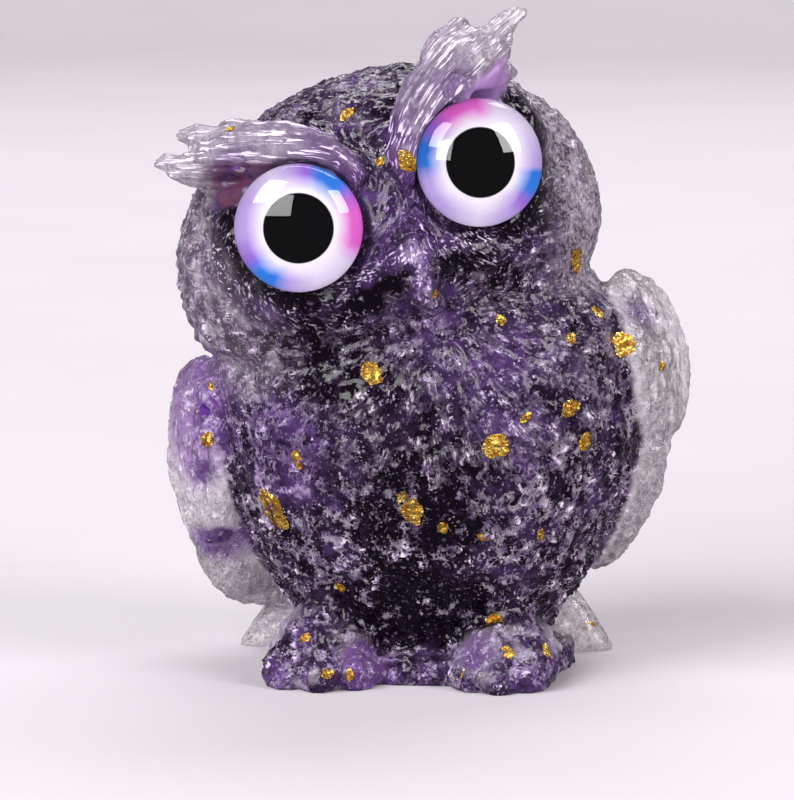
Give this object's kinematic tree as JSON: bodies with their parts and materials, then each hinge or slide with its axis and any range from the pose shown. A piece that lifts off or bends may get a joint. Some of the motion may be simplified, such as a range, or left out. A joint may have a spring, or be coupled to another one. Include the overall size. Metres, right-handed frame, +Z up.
{
  "type": "owl figurine",
  "caption": "Standing owl figurine cast in clear resin over crushed amethyst, with a cocked head, large domed glass eyes, ear tufts, folded wings and gold foil flakes",
  "frame": {"origin": "bottom centre of the bounding box, on the plane the figurine stands on", "axes": "+Z up through the head, the owl faces -Y, and its own left side is at +X"},
  "size_m": [0.0512, 0.0384, 0.0646],
  "materials": {
    "clear_resin": "clear cast epoxy resin with a fine feather relief, glossy",
    "amethyst": "crushed dark purple amethyst, packed",
    "amethyst_chip": "broken violet amethyst chip, clear",
    "gold_foil": "crumpled gold-coloured foil flake",
    "eye_glass": "polished clear glass dome",
    "iris_print": "printed iris in lilac, pink and blue around a black pupil",
    "adhesive": "clear cured glue, satin"
  },
  "bodies": {
    "root": {"resin_casting": "clear_resin", "amethyst_fill": "amethyst", "eye_right_adhesive_pad": "adhesive", "eye_right_iris_print": "iris_print", "eye_right_glass_cabochon": "eye_glass", "eye_left_adhesive_pad": "adhesive", "eye_left_iris_print": "iris_print", "eye_left_glass_cabochon": "eye_glass", "amethyst_chip_01": "amethyst_chip", "amethyst_chip_02": "amethyst_chip", "amethyst_chip_03": "amethyst_chip", "amethyst_chip_04": "amethyst_chip", "amethyst_chip_05": "amethyst_chip", "amethyst_chip_06": "amethyst_chip", "amethyst_chip_07": "amethyst_chip", "amethyst_chip_08": "amethyst_chip", "gold_flake_01": "gold_foil", "gold_flake_02": "gold_foil", "gold_flake_03": "gold_foil", "gold_flake_04": "gold_foil", "gold_flake_05": "gold_foil", "gold_flake_06": "gold_foil", "gold_flake_07": "gold_foil", "gold_flake_08": "gold_foil", "gold_flake_09": "gold_foil", "gold_flake_10": "gold_foil", "gold_flake_11": "gold_foil", "gold_flake_12": "gold_foil", "gold_flake_13": "gold_foil", "gold_flake_14": "gold_foil", "gold_flake_15": "gold_foil", "gold_flake_16": "gold_foil", "gold_flake_17": "gold_foil", "gold_flake_18": "gold_foil", "gold_flake_19": "gold_foil", "gold_flake_20": "gold_foil", "gold_flake_21": "gold_foil", "gold_flake_22": "gold_foil", "gold_flake_23": "gold_foil", "gold_flake_24": "gold_foil", "gold_flake_25": "gold_foil", "gold_flake_26": "gold_foil", "gold_flake_27": "gold_foil", "gold_flake_28": "gold_foil", "gold_flake_29": "gold_foil", "gold_flake_30": "gold_foil", "gold_flake_31": "gold_foil", "gold_flake_32": "gold_foil", "gold_flake_33": "gold_foil", "gold_flake_34": "gold_foil", "gold_flake_35": "gold_foil", "gold_flake_36": "gold_foil", "gold_flake_37": "gold_foil", "gold_flake_38": "gold_foil", "gold_flake_39": "gold_foil"}
  },
  "joints": []
}
